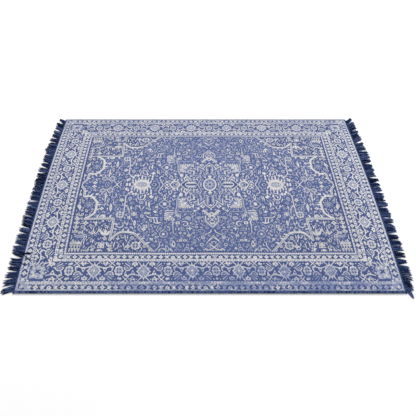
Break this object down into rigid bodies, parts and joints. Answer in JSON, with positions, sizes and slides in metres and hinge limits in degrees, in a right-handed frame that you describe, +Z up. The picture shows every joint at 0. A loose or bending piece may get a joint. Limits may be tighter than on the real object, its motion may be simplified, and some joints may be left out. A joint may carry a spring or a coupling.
{
  "type": "persian rug",
  "caption": "Flat rectangular rug with a floral medallion pattern in blue and ivory, corded long sides and a dark fringe of yarn locks along its short ends.",
  "frame": {"origin": "middle of the underside, on the floor", "axes": "+X along the length, +Y across the width to the far long side, +Z up out of the pile"},
  "size_m": [1.8263, 1.2348, 0.0096],
  "materials": {
    "patterned_weave": "flat dense pile of wool-like yarn, blue and ivory, matte",
    "navy_yarn": "dark navy twisted yarn, matte with a slight sheen"
  },
  "bodies": {
    "root": {"woven_panel": "patterned_weave", "side_cord_near": "navy_yarn", "side_cord_far": "navy_yarn", "fringe_left": "navy_yarn", "fringe_right": "navy_yarn"}
  },
  "joints": []
}
